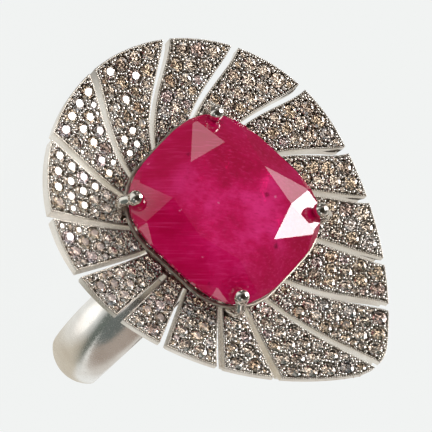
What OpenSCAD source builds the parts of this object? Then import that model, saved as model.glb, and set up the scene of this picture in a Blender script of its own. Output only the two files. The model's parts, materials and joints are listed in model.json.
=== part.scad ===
// Cocktail ring: a cushion ruby in four claws over a pierced, leaf-shaped plate paved with small diamonds.
// As worn, the finger runs along X, the leaf's tip points to +X and the ruby looks along +Z.
// Everything is drawn as worn, about the ruby's axis, and then laid down on the band's edge and the round end.

/* [Plate] */
// Radius of the leaf's round end, seen from above
round_end_r = 13.6; // [13.2:0.1:14]
// How far the round end's centre lies behind the ruby's axis
round_end_back = 1.9; // [1.7:0.05:2.1]
// Radius of the leaf's two long sides
side_r = 27.3; // [26.5:0.1:28.5]
// Radius of the leaf's blunt tip
tip_r = 3.5; // [3.3:0.1:3.7]
// Distance from the ruby's axis to the tip
tip_reach = 17.7; // [17.5:0.1:17.9]
// Radius of the sphere that the hollow face follows
dish_r = 50; // [46:1:60]
// Thickness of the plate
plate_t = 1.2; // [1.1:0.05:1.3]
// Depth of the channels that hold the small stones
channel_depth = 0.56; // [0.55:0.01:0.58]
// Thickness of the bright wall left around each channel
wall = 0.14; // [0.13:0.01:0.16]
// How far the plate's lower edge steps in along the sides and the tip
step_in = 0.4; // [0.3:0.05:0.5]
// Radius of the hole in the plate under the ruby
opening_r = 5.4; // [5.2:0.1:5.5]

/* [Slots] */
// Width of a slot at the rim
slot_rim_w = 0.62; // [0.55:0.01:0.66]
// Width of a slot at its inner end
slot_inner_w = 0.32; // [0.28:0.01:0.36]
// Distance of the slots' inner ends from the ruby's axis
slot_end_r = 7; // [6.9:0.05:7.1]
// How late a slot bends on its way in
slot_bend = 1.45; // [1.35:0.05:1.55]

/* [Small stones] */
// Diameter of a stone at the rim
rim_stone_d = 1.27; // [1.25:0.01:1.3]
// How much smaller the stones are where the slots end
stone_drop = 0.4; // [0.38:0.01:0.44]
// Clear space between neighbouring stones
stone_gap = 0.12; // [0.12:0.01:0.16]

/* [Ruby] */
// Width of the ruby across the finger
ruby_w = 14.2; // [14:0.1:14.3]
// Length of the ruby along the finger
ruby_l = 14.8; // [14.6:0.1:14.9]
// Height of the girdle's middle above the lowest point of the hollow face
girdle_z = 2.65; // [2.6:0.05:2.75]
// Height of the crown above the girdle
crown_h = 1.75; // [1.7:0.05:1.9]
// Depth of the pavilion below the girdle
pavilion_h = 5.4; // [5.2:0.1:5.6]

/* [Shank] */
// Radius of the finger hole
finger_r = 8.5; // [8.3:0.05:8.6]
// Thickness of the band at its middle line
band_t = 1.6; // [1.5:0.05:1.7]
// Width of the band under the plate
band_top_w = 5.7; // [5.5:0.1:6]
// Width of the band opposite the plate
band_bottom_w = 4.4; // [4.2:0.1:4.8]
// Depth of the finger hole's axis below the lowest point of the hollow face
finger_z = 15.9; // [15.9:0.1:16.2]

/* [Hidden] */
$fn = 96;

white_gold = [0.84, 0.83, 0.81];
ruby_red = [0.70, 0.05, 0.28];
diamond_grey = [0.72, 0.69, 0.66];

// How the ring lies: tipped over backwards, spun until the ruby looks towards -Y, and set down on the floor.
lie_tilt = -63.19;
lie_spin = 90;
lie_shift = [0, -7.1684, 13.2801];

// Each slot: [angle at the rim, angle at the inner end], turning from +X towards +Y.
slots = [
    [-154, -140],
    [-128, -122],
    [-107, -105],
    [-87, -85],
    [-69, -69],
    [-47, -44],
    [-28, -29],
    [0, -16],
    [18, 4],
    [33, 40],
    [56, 71],
    [76, 99],
    [103, 127],
    [129, 155],
    [152, 181],
    [180, 207]
];
slot_count = len(slots);

// The leaf's outline: a round end, two flatter sides tangent to it, and a small arc at the tip.
tip_x = tip_reach - tip_r;
side_to_end = side_r - round_end_r;
side_to_tip = side_r - tip_r;
side_x = (pow(side_to_end, 2) - pow(side_to_tip, 2) - pow(round_end_back, 2) + pow(tip_x, 2))
    / (2 * (round_end_back + tip_x));
side_y = sqrt(pow(side_to_end, 2) - pow(side_x + round_end_back, 2));
end_turn = atan2(side_y, -round_end_back - side_x);
tip_turn = atan2(side_y, tip_x - side_x);
end_angle = atan2(round_end_r * sin(end_turn), round_end_r * cos(end_turn) - round_end_back);
tip_angle = atan2(tip_r * sin(tip_turn), tip_r * cos(tip_turn) + tip_x);

function at(angle, r) = r * [cos(angle), sin(angle)];
function folded(angle) = abs((angle + 540) % 360 - 180);
function arc(centre, r, from, to, steps) = [for (i = [0:steps - 1]) centre + at(from + (to - from) * i / steps, r)];

// Distance from the ruby's axis to a circle's far side, in the direction of an angle.
function to_circle(angle, centre, r) =
    let (d = at(angle, 1) * centre)
    d + sqrt(r * r - centre * centre + d * d);

function rim(angle) =
    let (a = folded(angle))
    a > end_angle ? to_circle(a, [-round_end_back, 0], round_end_r)
    : a > tip_angle ? to_circle(a, [side_x, -side_y], side_r)
    : to_circle(a, [tip_x, 0], tip_r);

// A slot's middle line, from the rim at t = 0 to its inner end at t = 1.
function slot_angle(slot, t) = slot[0] + (slot[1] - slot[0]) * pow(max(t, 0), slot_bend);
function reach(angle, t) = rim(angle) * (1 - t) + slot_end_r * t;
function slot_point(slot, t) = at(slot_angle(slot, t), reach(slot_angle(slot, t), t));
function slot_half(t) = (slot_rim_w + (slot_inner_w - slot_rim_w) * max(t, 0)) / 2;
function slot_run(slot, t) =
    let (d = slot_point(slot, t + 0.02) - slot_point(slot, t - 0.02))
    d / norm(d);
function slot_side(slot, t, side, extra) =
    let (d = slot_run(slot, t))
    slot_point(slot, t) + side * (slot_half(t) + extra) * [d[1], -d[0]];

slot_steps = 8;
slot_start = -0.12;

function leaf_points(inset) = concat(
    arc([tip_x, 0], tip_r - inset, -tip_turn, tip_turn, 12),
    arc([side_x, -side_y], side_r - inset, tip_turn, end_turn, 12),
    arc([-round_end_back, 0], round_end_r - inset, end_turn, 360 - end_turn, 52),
    arc([side_x, side_y], side_r - inset, -end_turn, -tip_turn, 12)
);

// The lower outline steps in along the sides and the tip, and meets the upper one round the back.
step_depth = 0.64;
function step_share(angle) =
    let (s = min(max((132 - folded(angle)) / 45, 0), 1))
    s * s * (3 - 2 * s);
function stepped(p) = p * (1 - step_in * step_share(atan2(p[1], p[0])) / norm(p));

module slot_outline(slot, extra) {
    finish = 1 + extra / (rim(slot[1]) - slot_end_r);
    run = [for (i = [0:slot_steps]) slot_start + (finish - slot_start) * i / slot_steps];
    polygon(concat(
        [for (i = [0:slot_steps]) slot_side(slot, run[i], 1, extra)],
        [for (i = [0:slot_steps]) slot_side(slot, run[slot_steps - i], -1, extra)]
    ));
}

// Everything within a sphere below the hollow face by the given depth.
module above_layer(depth) {
    translate([0, 0, dish_r]) sphere(r = dish_r + depth, $fn = 180);
}

module plate() {
    base_z = -3;
    height = 12;
    difference() {
        union() {
            intersection() {
                translate([0, 0, base_z]) linear_extrude(height) polygon(leaf_points(0));
                above_layer(step_depth);
            }
            intersection() {
                translate([0, 0, base_z]) linear_extrude(height) polygon([for (p = leaf_points(0)) stepped(p)]);
                above_layer(plate_t);
            }
        }
        above_layer(0);
        intersection() {
            translate([0, 0, base_z]) linear_extrude(height) difference() {
                polygon(leaf_points(wall));
                circle(r = opening_r + wall);
                for (slot = slots) slot_outline(slot, wall);
            }
            above_layer(channel_depth);
        }
        for (slot = slots) {
            translate([0, 0, base_z]) linear_extrude(height) slot_outline(slot, 0);
        }
        translate([0, 0, base_z]) cylinder(r = opening_r, h = height);
    }
}

// The band: a half-round ring, flat inside and domed outside, tapered from under the plate to the far side.
dome_r = 3;

module shank() {
    outer_r = finger_r + band_t;
    translate([0, 0, -finger_z]) intersection() {
        rotate([0, 90, 0]) rotate_extrude($fn = 180) intersection() {
            translate([finger_r, -band_top_w]) square([band_t, 2 * band_top_w]);
            translate([outer_r - dome_r, 0]) circle(r = dome_r);
        }
        rotate([90, 0, 0]) translate([0, 0, -outer_r - 1]) linear_extrude(2 * outer_r + 2) polygon([
            [-band_bottom_w / 2, -outer_r - 1],
            [band_bottom_w / 2, -outer_r - 1],
            [band_top_w / 2, outer_r + 1],
            [-band_top_w / 2, outer_r + 1]
        ]);
    }
}

// The claw setting: a seat on the band, four bent claws through the plate, and a rail under the girdle.
setting_turn = 4;
claw_angle = 43;
claw_r = 0.46;
claw_bead_r = 0.56;
seat_r = 3.9;
seat_bore_r = 2.5;
seat_top_z = -4.9;
seat_h = 1.9;
claw_foot = [3.3, -5.5];
claw_knee = [7.5, -0.4];
claw_elbow = [9.02, 2.75];
claw_tip = [8.2, 3.7];
claw_angles = [claw_angle, 180 - claw_angle, 180 + claw_angle, -claw_angle];
rail_z = 1.75;
rail_h = 0.4;
rail_out = 0.14;
rail_in = -0.1;
rail_corner_r = 5;

function claw_point(angle, p) = [p[0] * cos(angle), p[0] * sin(angle), p[1]];

// A straight rod from one point to another.
module rod(from, to, r) {
    d = to - from;
    translate(from) rotate([0, acos(d[2] / norm(d)), atan2(d[1], d[0])]) cylinder(r = r, h = norm(d), $fn = 32);
}

module claw(angle) {
    foot = claw_point(angle, claw_foot);
    knee = claw_point(angle, claw_knee);
    elbow = claw_point(angle, claw_elbow);
    tip = claw_point(angle, claw_tip);
    joint_r = claw_r * 1.06;
    rod(foot, knee, claw_r);
    translate(knee) sphere(r = joint_r, $fn = 32);
    rod(knee, elbow, claw_r);
    translate(elbow) sphere(r = joint_r, $fn = 32);
    rod(elbow, tip, claw_r * 0.96);
    translate(tip) sphere(r = claw_bead_r, $fn = 32);
}

module rail_outline(grow) {
    l = ruby_l / 2 + grow - rail_corner_r;
    w = ruby_w / 2 + grow - rail_corner_r;
    square([2 * (l + rail_corner_r), 2 * w], center = true);
    square([2 * l, 2 * (w + rail_corner_r)], center = true);
    for (x = [-l, l], y = [-w, w]) {
        translate([x, y]) circle(r = rail_corner_r);
    }
}

module claw_setting() {
    rotate([0, 0, setting_turn]) {
        difference() {
            translate([0, 0, seat_top_z - seat_h]) cylinder(r = seat_r, h = seat_h);
            translate([0, 0, seat_top_z - 1]) cylinder(r = seat_bore_r, h = 2);
        }
        translate([0, 0, rail_z]) linear_extrude(rail_h) difference() {
            rail_outline(rail_out);
            rail_outline(rail_in);
        }
        for (angle = claw_angles) claw(angle);
    }
}

// The ruby: a cushion outline cut by planes, each laid through a point of the girdle.
girdle_t = 0.3;
cushion = 3.1;
table_share = 0.62;
star_slope = 24;
upper_slope = 43;
lower_extra = 4;
half_spread = 15;
block = 40;

function power(x, p) = sign(x) * pow(abs(x), p);
function cushion_point(u) = [
    ruby_l / 2 * power(cos(u), 2 / cushion),
    ruby_w / 2 * power(sin(u), 2 / cushion)
];
function cushion_normal(u) = atan2(
    power(sin(u), 2 - 2 / cushion) / ruby_w,
    power(cos(u), 2 - 2 / cushion) / ruby_l
);
function girdle_distance(u) = at(cushion_normal(u), 1) * cushion_point(u);

// Everything on the stone's side of a plane: it faces the angle, passes through (distance, height) and slopes inwards.
module cut(angle, distance, height, slope, side) {
    rotate([0, 0, angle]) translate([distance, 0, height]) rotate([0, side * slope, 0])
        translate([-block / 2, -block / 2, side > 0 ? -block : 0]) cube(block);
}

module half_cuts(u) {
    normal = cushion_normal(u);
    distance = girdle_distance(u);
    intersection() {
        cut(normal, distance, girdle_t / 2, upper_slope, 1);
        cut(normal, distance, -girdle_t / 2, atan2(pavilion_h, distance) + lower_extra, -1);
    }
}

module ruby_stone() {
    rise = girdle_t / 2 + crown_h;
    depth = girdle_t / 2 + pavilion_h;
    outline_steps = 48;
    rotate([0, 0, setting_turn]) translate([0, 0, girdle_z]) intersection() {
        translate([0, 0, -depth - 1]) linear_extrude(depth + rise + 1) polygon([
            for (i = [0:outline_steps - 1]) cushion_point(360 / outline_steps * i)
        ]);
        intersection_for(k = [0:7]) {
            u = 45 * k;
            normal = cushion_normal(u);
            distance = girdle_distance(u);
            from = table_share * cushion_point(u);
            to = table_share * cushion_point(u + 45);
            star = atan2(from[0] - to[0], to[1] - from[1]);
            intersection() {
                cut(normal, distance, girdle_t / 2, atan2(crown_h, (1 - table_share) * distance), 1);
                cut(normal, distance, -girdle_t / 2, atan2(pavilion_h, distance), -1);
                cut(star, at(star, 1) * from, rise, star_slope, 1);
                half_cuts(u - half_spread);
                half_cuts(u + half_spread);
            }
        }
    }
}

// The small stones: rows across each panel, set one after another from the rim inwards.
stone_sides = 10;
stone_table = 0.56;
stone_crown = 0.15;
stone_depth = 0.42;
stone_seat = 0.02;
wall_gap = 0.08;
claw_room = 1.3;
row_step = 0.008;
smallest_stone = 0.72;
collar_r = 6.22;
collar_d = 0.98;
claw_holes = [for (angle = claw_angles) at(angle + setting_turn, 8)];

function radial_cos(slot, t) = abs(slot_run(slot, t) * at(slot_angle(slot, t), 1));
function edge_room(slot, t, d) = (slot_half(t) + wall + wall_gap + d / 2) / radial_cos(slot, t);
function next_slot(i) = i < slot_count - 1 ? slots[i + 1] : slots[0] + [360, 360];

// A row: [x, y, diameter] of each stone, pushed towards one slot (lean 0), the middle, or the other (lean 1).
function row(i, t, lean) =
    let (
        a = slots[i],
        b = next_slot(i),
        from = slot_angle(a, t),
        to = slot_angle(b, t),
        far = reach((from + to) / 2, t),
        full = rim_stone_d - stone_drop * t,
        width = (to - from) * PI / 180 * far,
        spare = width - edge_room(a, t, full) - edge_room(b, t, full),
        d = spare < 0 ? full + spare : full,
        room = max(spare, 0),
        count = d < smallest_stone ? 0 : floor(room / (d + stone_gap)) + 1,
        rest = room - (count - 1) * (d + stone_gap),
        start = edge_room(a, t, d) + lean * rest
    )
    [for (j = [0:1:count - 1])
        let (
            angle = from + (to - from) * (start + j * (d + stone_gap)) / width,
            p = at(angle, reach(angle, t))
        )
        if (min([for (hole = claw_holes) norm(p - hole)]) > (d + claw_room) / 2) [p[0], p[1], d]
    ];

function room_between(stones, others) = min(concat([9], [
    for (p = stones, q = others) norm([p[0] - q[0], p[1] - q[1]]) - (p[2] + q[2]) / 2
]));

function best_row(i, t, set) =
    let (
        rows = [for (lean = [0.5, 0, 1]) row(i, t, lean)],
        room = [for (stones = rows) room_between(stones, set)]
    )
    rows[room[0] >= max(room) - 0.02 ? 0 : room[1] > room[2] ? 1 : 2];

function first_t(i) =
    let (angle = (slots[i][0] + next_slot(i)[0]) / 2)
    (wall + wall_gap + rim_stone_d / 2) / (rim(angle) - slot_end_r) * 1.03;
function last_t(i) =
    let (angle = (slots[i][1] + next_slot(i)[1]) / 2)
    1 - 0.42 / (rim(angle) - slot_end_r);

function panel_stones(i, t, set) =
    t > last_t(i) ? set
    : let (stones = best_row(i, t, set))
    len(stones) == 0 || room_between(stones, set) < stone_gap ? panel_stones(i, t + row_step, set)
    : panel_stones(i, t + 5 * row_step, concat(set, stones));

function collar_stones(from, to) =
    let (
        count = floor(2 * PI * collar_r / (collar_d + stone_gap)),
        step = 360 / count
    )
    [for (angle = [from + step / 2:step:to - step / 2]) [collar_r * cos(angle), collar_r * sin(angle), collar_d]];

function field(panels) = [for (i = panels) each panel_stones(i, first_t(i), [])];

// A stone's corners on the hollow face: table, girdle and culet, its axis along the face's normal.
function stone_points(stone) =
    let (
        far = norm([stone[0], stone[1]]),
        angle = atan2(stone[1], stone[0]),
        lean = asin(far / dish_r),
        out = [cos(angle) * cos(lean), sin(angle) * cos(lean), sin(lean)],
        round = [-sin(angle), cos(angle), 0],
        up = [-cos(angle) * sin(lean), -sin(angle) * sin(lean), cos(lean)],
        base = [stone[0], stone[1], dish_r * (1 - cos(lean))] + stone_seat * up,
        r = stone[2] / 2,
        turn = 360 / stone_sides
    )
    concat(
        [for (j = [0:stone_sides - 1])
            base + stone_crown * stone[2] * up
                + stone_table * r * (cos((j - 0.5) * turn) * out + sin((j - 0.5) * turn) * round)],
        [for (j = [0:stone_sides - 1]) base + r * (cos(j * turn) * out + sin(j * turn) * round)],
        [base - stone_depth * stone[2] * up]
    );

module stones(list) {
    n = stone_sides;
    size = 2 * n + 1;
    polyhedron(
        points = [for (stone = list) each stone_points(stone)],
        faces = [for (s = [0:len(list) - 1]) each concat(
            [for (j = [1:n - 2]) [s * size, s * size + j + 1, s * size + j]],
            [for (j = [0:n - 1]) [s * size + j, s * size + (j + 1) % n, s * size + n + j]],
            [for (j = [0:n - 1]) [s * size + (j + 1) % n, s * size + n + (j + 1) % n, s * size + n + j]],
            [for (j = [0:n - 1]) [s * size + n + j, s * size + n + (j + 1) % n, s * size + 2 * n]]
        )]
    );
}

tip_field = concat(field([3:10]), collar_stones(-90, 90));
round_field = concat(field([11:15]), field([0:2]), collar_stones(90, 270));

module lay() {
    translate(lie_shift) rotate([0, 0, lie_spin]) rotate([0, lie_tilt, 0]) children();
}

module ring_mount() {
    color(white_gold) lay() {
        plate();
        shank();
        claw_setting();
    }
}

module ruby() {
    color(ruby_red) lay() ruby_stone();
}

module pave_round_end() {
    color(diamond_grey) lay() stones(round_field);
}

module pave_tip_end() {
    color(diamond_grey) lay() stones(tip_field);
}

ring_mount();
ruby();
pave_round_end();
pave_tip_end();
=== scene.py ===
import json
import math

import bpy
import numpy as np
from mathutils import Matrix


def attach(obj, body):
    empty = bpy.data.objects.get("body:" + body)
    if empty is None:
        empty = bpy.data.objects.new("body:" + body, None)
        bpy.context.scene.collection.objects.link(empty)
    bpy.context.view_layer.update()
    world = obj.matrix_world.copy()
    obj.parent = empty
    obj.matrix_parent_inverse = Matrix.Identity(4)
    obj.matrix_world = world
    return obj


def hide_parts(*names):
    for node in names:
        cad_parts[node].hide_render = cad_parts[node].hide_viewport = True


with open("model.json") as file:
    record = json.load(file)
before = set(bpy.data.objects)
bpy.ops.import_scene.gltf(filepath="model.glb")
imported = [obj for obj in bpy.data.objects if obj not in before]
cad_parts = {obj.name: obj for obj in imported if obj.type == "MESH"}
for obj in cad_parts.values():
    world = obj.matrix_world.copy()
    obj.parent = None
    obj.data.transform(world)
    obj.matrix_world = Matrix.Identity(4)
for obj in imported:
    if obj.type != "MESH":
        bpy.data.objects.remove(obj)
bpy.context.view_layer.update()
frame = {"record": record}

# How the ring lies
# Every piece is drawn as it is worn, in mm about the ruby's axis: X along the finger, Z out through the ruby.
# The whole ring is then tipped over backwards, onto the band's edge and the plate's round end.
LIE_TILT, LIE_SPIN = math.radians(-63.19), math.radians(90)
FINGER_Z = -15.9


def about_z(angle):
    """The matrix that turns points about the Z axis."""
    c, s = math.cos(angle), math.sin(angle)
    return np.array([[c, -s, 0], [s, c, 0], [0, 0, 1]])


def about_y(angle):
    """The matrix that turns points about the Y axis."""
    c, s = math.cos(angle), math.sin(angle)
    return np.array([[c, 0, s], [0, 1, 0], [-s, 0, c]])


WORN_TO_FLOOR = about_z(LIE_SPIN) @ about_y(LIE_TILT)
finger_hole = next(m for m in frame["record"]["mounts"] if m["name"] == "finger_hole")
LIE_SHIFT = np.array(finger_hole["pos_m"]) - WORN_TO_FLOOR @ np.array([0, 0, FINGER_Z]) / 1000


def lay(points):
    """Points in mm as worn, to metres on the floor: each is turned by one matrix, then shifted."""
    return np.asarray(points, float) @ WORN_TO_FLOOR.T / 1000 + LIE_SHIFT


# The plate
# A leaf-shaped sheet of white gold, slightly hollow, with sixteen slots sawn right through it.
# Channels for the stones are cut into every panel, which leaves a thin wall round each one.
ROUND_END_R, ROUND_END_BACK = 13.6, 1.9
SIDE_R = 27.3
TIP_R, TIP_REACH = 3.5, 17.7
DISH_R, PLATE_T = 50.0, 1.2
CHANNEL_DEPTH, CHANNEL_EASE, WALL, EDGE_ROUND = 0.56, 0.015, 0.14, 0.03
FACE_KIND, WALL_KIND, CHANNEL_KIND = 0, 1, 2
STEP_IN, STEP_DEPTH, STEP_END, STEP_FADE, STEP_REACH = 0.4, 0.64, 132, 45, 0.25
OPENING_R, CHANNEL_LINE_R, SLOT_END_R = 5.4, 6.3, 7.0
SLOT_RIM_W, SLOT_INNER_W, SLOT_BEND = 0.62, 0.32, 1.45
# Each slot: angle at the rim, angle at the inner end, in degrees from the tip.
SLOTS = np.array([
    (-154, -140), (-128, -122), (-107, -105), (-87, -85), (-69, -69), (-47, -44), (-28, -29), (0, -16),
    (18, 4), (33, 40), (56, 71), (76, 99), (103, 127), (129, 155), (152, 181), (180, 207),
], float)
PANELS = len(SLOTS)

# The side arc's middle, and the turns and angles at which it passes into the round end and the tip.
TIP_X = TIP_REACH - TIP_R
SIDE_X = ((SIDE_R - ROUND_END_R) ** 2 - (SIDE_R - TIP_R) ** 2 - ROUND_END_BACK ** 2 + TIP_X ** 2) / (
    2 * (ROUND_END_BACK + TIP_X))
SIDE_Y = math.sqrt((SIDE_R - ROUND_END_R) ** 2 - (SIDE_X + ROUND_END_BACK) ** 2)
END_TURN = math.atan2(SIDE_Y, -ROUND_END_BACK - SIDE_X)
TIP_TURN = math.atan2(SIDE_Y, TIP_X - SIDE_X)
END_ANGLE = math.degrees(math.atan2(
    ROUND_END_R * math.sin(END_TURN), ROUND_END_R * math.cos(END_TURN) - ROUND_END_BACK))
TIP_ANGLE = math.degrees(math.atan2(TIP_R * math.sin(TIP_TURN), TIP_R * math.cos(TIP_TURN) + TIP_X))


def polar(angle, r):
    """The plan point at an angle in degrees and a distance from the ruby's axis."""
    a = np.radians(angle)
    return np.stack([r * np.cos(a), r * np.sin(a)], -1)


def to_circle(angle, x, y, r):
    """Distance along an angle to a circle's far side: d + sqrt(r^2 - |c|^2 + d^2), d the centre's share."""
    a = np.radians(angle)
    d = x * np.cos(a) + y * np.sin(a)
    return d + np.sqrt(np.maximum(r * r - x * x - y * y + d * d, 0))


def rim(angle):
    """The leaf's edge: a round end, two flatter side arcs tangent to it and a small arc at the tip."""
    a = np.abs((np.asarray(angle, float) + 540) % 360 - 180)
    return np.where(
        a > END_ANGLE, to_circle(a, -ROUND_END_BACK, 0, ROUND_END_R),
        np.where(a > TIP_ANGLE, to_circle(a, SIDE_X, -SIDE_Y, SIDE_R), to_circle(a, TIP_X, 0, TIP_R)))


def slot_angle(slot, t):
    """A slot's middle line turns from its rim angle to its inner angle as t to the power SLOT_BEND."""
    return slot[0] + (slot[1] - slot[0]) * np.maximum(t, 0) ** SLOT_BEND


def reach(angle, t):
    """Distance from the ruby's axis: the rim at t = 0, the slots' inner ends at t = 1."""
    return rim(angle) * (1 - t) + SLOT_END_R * t


def slot_half(t):
    """Half a slot's width, which narrows evenly from the rim inwards."""
    return (SLOT_RIM_W + (SLOT_INNER_W - SLOT_RIM_W) * np.maximum(t, 0)) / 2


def slot_skew(slot, t):
    """Cosine of the angle between a slot's run and the straight line to the ruby's axis."""
    ends = [polar(slot_angle(slot, u), reach(slot_angle(slot, u), u)) for u in (t + 0.02, t - 0.02)]
    run = ends[0] - ends[1]
    out = polar(slot_angle(slot, t), 1.0)
    return np.abs(np.sum(run * out, -1)) / np.linalg.norm(run, axis=-1)


def next_slot(i):
    """The slot on the far side of panel i, counted on past a full turn after the last one."""
    return SLOTS[i + 1] if i < PANELS - 1 else SLOTS[0] + 360


def layer_z(r, depth):
    """Height of the spherical layer that lies the given depth below the plate's hollow face."""
    return DISH_R - np.sqrt((DISH_R + depth) ** 2 - np.asarray(r) ** 2)


def step_share(angle):
    """How much of the lower step a direction gets: none round the back, all along the sides and the tip."""
    share = np.clip((STEP_END - np.abs((np.asarray(angle) + 540) % 360 - 180)) / STEP_FADE, 0, 1)
    return share * share * (3 - 2 * share)


def raised(plan, z):
    """Plan points given their heights."""
    return np.concatenate([plan, np.broadcast_to(z, plan.shape[:-1])[..., None]], -1)


def panel_length(a, b):
    """How far the panel between slots a and b runs inwards along its middle."""
    return rim((a[0] + b[0]) / 2) - SLOT_END_R


def panel_at(a, b, t):
    """The panel between two slots at t: the slots' angles, its middle's distance from the axis, its width."""
    low, high = slot_angle(a, t), slot_angle(b, t)
    middle = reach((low + high) / 2, t)
    return low, high, middle, np.radians(high - low) * middle


def net(rows, columns, wrap_rows=False, wrap_columns=False):
    """Quads over a grid of points: each joins two neighbours in a row to the same two in the next row."""
    i = np.arange(rows if wrap_rows else rows - 1)[:, None]
    j = np.arange(columns if wrap_columns else columns - 1)[None, :]
    i2, j2 = (i + 1) % rows, (j + 1) % columns
    corners = [i * columns + j, i * columns + j2, i2 * columns + j2, i2 * columns + j]
    return np.stack(np.broadcast_arrays(*corners), -1).reshape(-1, 4)


def slab(*layers):
    """A closed block from equal grids, top to bottom: the first and last whole, with walls between edges."""
    rows, columns = layers[0].shape[:2]
    count = rows * columns
    grid = np.arange(count).reshape(rows, columns)
    edge = np.concatenate([grid[0, :-1], grid[:-1, -1], grid[-1, :0:-1], grid[:0:-1, 0]])
    points = [layers[0].reshape(-1, 3), layers[-1].reshape(-1, 3)]
    loops, start = [edge], 2 * count
    for layer in layers[1:-1]:
        points.append(layer.reshape(-1, 3)[edge])
        loops.append(start + np.arange(len(edge)))
        start += len(edge)
    loops.append(edge + count)
    upper = net(rows, columns)
    wall = np.concatenate([
        np.stack([np.roll(a, -1), a, b, np.roll(b, -1)], -1) for a, b in zip(loops[:-1], loops[1:])])
    return np.concatenate(points), upper, upper[:, ::-1] + count, wall


def panel_block(i):
    """One panel: a grid between two slots, crowded at its walls and sunk by the channel's depth inside."""
    lines = np.array([0, EDGE_ROUND, WALL - EDGE_ROUND, WALL, WALL + CHANNEL_EASE])
    outer_drop = np.array([EDGE_ROUND, 0, 0, 0, 0])
    inner_drop = np.array([0, 0, 0, EDGE_ROUND, CHANNEL_DEPTH])
    a, b = SLOTS[i], next_slot(i)
    length = panel_length(a, b)
    rest = np.linspace(lines[-1] / length, 1, 26)[1:]
    t = np.concatenate([lines / length, rest])
    outer_t = np.concatenate([outer_drop, 0 * rest])
    inner_t = np.concatenate([inner_drop, 0 * rest + CHANNEL_DEPTH])
    low, high, middle, width = panel_at(a, b, t)
    inset = slot_half(t)[:, None] + lines
    across_low = inset / slot_skew(a, t)[:, None]
    across_high = width[:, None] - (inset / slot_skew(b, t)[:, None])[:, ::-1]
    between = np.linspace(0, 1, 8)[1:-1]
    span = across_high[:, :1] - across_low[:, -1:]
    across = np.concatenate([across_low, across_low[:, -1:] + span * between, across_high], 1)
    angle = low[:, None] + np.degrees(across / middle[:, None])
    plan = polar(angle, reach(angle, t[:, None]))
    r = np.linalg.norm(plan, axis=-1)
    pad = np.zeros(len(between))
    outer_s = np.concatenate([outer_drop, pad, outer_drop[::-1]])
    inner_s = np.concatenate([inner_drop, pad + CHANNEL_DEPTH, inner_drop[::-1]])
    outer = np.maximum(outer_s[None, :], outer_t[:, None])
    inner = np.minimum(inner_s[None, :], inner_t[:, None])
    depth = np.maximum(outer, inner)
    near_rim = np.clip(1 - t[:, None] / STEP_REACH, 0, 1)
    stepped = plan * (1 - STEP_IN * step_share(angle) * near_rim / r)[..., None]
    stepped_r = np.linalg.norm(stepped, axis=-1)
    points, upper, lower, wall = slab(
        raised(plan, layer_z(r, depth)), raised(plan, layer_z(r, STEP_DEPTH)),
        raised(stepped, layer_z(stepped_r, STEP_DEPTH)), raised(stepped, layer_z(stepped_r, PLATE_T)))
    deep = depth.reshape(-1)[upper].max(1) > CHANNEL_DEPTH / 2
    upper_kinds = np.where(deep, CHANNEL_KIND, FACE_KIND)
    kinds = [upper_kinds, np.full(len(lower), FACE_KIND), np.full(len(wall), WALL_KIND)]
    return points, np.concatenate([upper, lower, wall]), np.concatenate(kinds)


def stop_block(slot):
    """The wall that closes a slot's inner end: a short arc as wide as the slot and its two walls."""
    lines = np.array([0, EDGE_ROUND, WALL / 2, WALL - EDGE_ROUND, WALL])
    drop = np.array([EDGE_ROUND, 0, 0, 0, EDGE_ROUND])
    r = SLOT_END_R - WALL + lines
    half = SLOT_INNER_W / 2 + WALL
    across = np.linspace(-half, half, 7)
    angle = slot[1] + np.degrees(across / SLOT_END_R)
    plan = polar(angle[None, :], r[:, None])
    far = np.linalg.norm(plan, axis=-1)
    points, upper, lower, wall = slab(
        raised(plan, layer_z(far, drop[:, None])), raised(plan, layer_z(far, PLATE_T)))
    return points, np.concatenate([upper, lower, wall]), np.concatenate([
        np.full(len(upper) + len(lower), FACE_KIND), np.full(len(wall), WALL_KIND)])


def collar_block():
    """The ring round the opening: a profile of wall, channel and underside, turned about the ruby's axis."""
    wall_end = OPENING_R + WALL
    r, depth = np.array([
        (OPENING_R, PLATE_T), (OPENING_R, EDGE_ROUND), (OPENING_R + EDGE_ROUND, 0),
        (wall_end - EDGE_ROUND, 0), (wall_end, EDGE_ROUND), (wall_end + CHANNEL_EASE, CHANNEL_DEPTH),
        (CHANNEL_LINE_R, CHANNEL_DEPTH), (SLOT_END_R, CHANNEL_DEPTH), (SLOT_END_R, PLATE_T)]).T
    turns = np.linspace(0, 360, 145)[:-1]
    plan = polar(turns[:, None], r[None, :])
    faces = net(len(turns), len(r), True, True)
    column = faces[:, 0] % len(r)
    kinds = np.select([column == 0, (column >= 4) & (column <= 6)], [WALL_KIND, CHANNEL_KIND], FACE_KIND)
    return raised(plan, layer_z(r, depth)).reshape(-1, 3), faces, kinds


def joined(blocks):
    """Several (points, faces, kinds) blocks as one, each one's faces counted on from the points before it."""
    counts = np.cumsum([0] + [len(b[0]) for b in blocks[:-1]])
    return (np.concatenate([b[0] for b in blocks]),
            np.concatenate([b[1] + c for b, c in zip(blocks, counts)]),
            np.concatenate([b[2] for b in blocks]))


def new_object(name, data):
    """An object made of the data, put into the scene."""
    made = bpy.data.objects.new(name, data)
    bpy.context.scene.collection.objects.link(made)
    return made


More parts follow.
